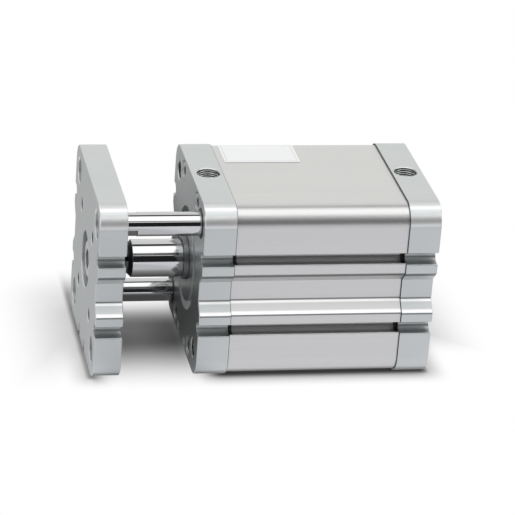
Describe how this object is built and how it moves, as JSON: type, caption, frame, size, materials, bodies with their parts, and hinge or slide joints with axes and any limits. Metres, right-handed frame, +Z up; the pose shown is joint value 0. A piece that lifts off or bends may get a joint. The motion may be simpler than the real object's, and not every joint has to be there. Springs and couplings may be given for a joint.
{
  "type": "compact pneumatic cylinder",
  "caption": "Square compact air cylinder with a guided front flange that slides out on a piston rod and guide rods; slotted barrel between flat covers with air ports on top.",
  "frame": {"origin": "centre of the rear cover's mounting face, on the piston rod's axis", "axes": "+X along the cylinder from the rod end to the rear cover, +Y away from the near side, +Z up through the air ports"},
  "size_m": [0.1419, 0.0776, 0.0776],
  "materials": {
    "cover_aluminium": "satin machined",
    "flange_aluminium": "satin machined",
    "anodised_aluminium": "clear anodised",
    "piston_aluminium": "turned",
    "chromed_steel": "hard chromed and polished",
    "zinc_steel": "zinc plated",
    "seal_rubber": "moulded, matt",
    "bumper_rubber": "moulded, matt",
    "bush_bronze": "sintered",
    "magnet": "plastic-bonded ferrite",
    "wear_plastic": "turned",
    "label_film": "blank film"
  },
  "bodies": {
    "cylinder": {"barrel": "anodised_aluminium", "front_cover": "cover_aluminium", "rear_cover": "cover_aluminium", "front_cover_screws": "zinc_steel", "rear_cover_screws": "zinc_steel", "front_cover_oring": "seal_rubber", "rear_cover_oring": "seal_rubber", "front_bumper": "bumper_rubber", "rear_bumper": "bumper_rubber", "bearing_cap": "cover_aluminium", "rod_bush": "bush_bronze", "rod_seal": "seal_rubber", "rod_wiper": "seal_rubber", "guide_bush_upper": "bush_bronze", "guide_bush_lower": "bush_bronze", "guide_wiper_upper": "seal_rubber", "guide_wiper_lower": "seal_rubber", "blank_label": "label_film"},
    "rod_assembly": {"front_flange": "flange_aluminium", "piston_rod": "chromed_steel", "guide_rod_upper": "chromed_steel", "guide_rod_lower": "chromed_steel", "flange_centre_screw": "zinc_steel", "guide_rod_screws": "zinc_steel", "piston_front_half": "piston_aluminium", "piston_rear_half": "piston_aluminium", "piston_magnet": "magnet", "piston_wear_ring": "wear_plastic", "piston_seal_front": "seal_rubber", "piston_seal_rear": "seal_rubber", "piston_rod_oring": "seal_rubber", "piston_screw": "zinc_steel", "piston_washer": "zinc_steel"}
  },
  "joints": [
    {"name": "rod_slide", "type": "slide", "parent": "cylinder", "child": "rod_assembly", "axis": [-1, 0, 0], "range_m": [-0.0234, 0.0266]}
  ]
}
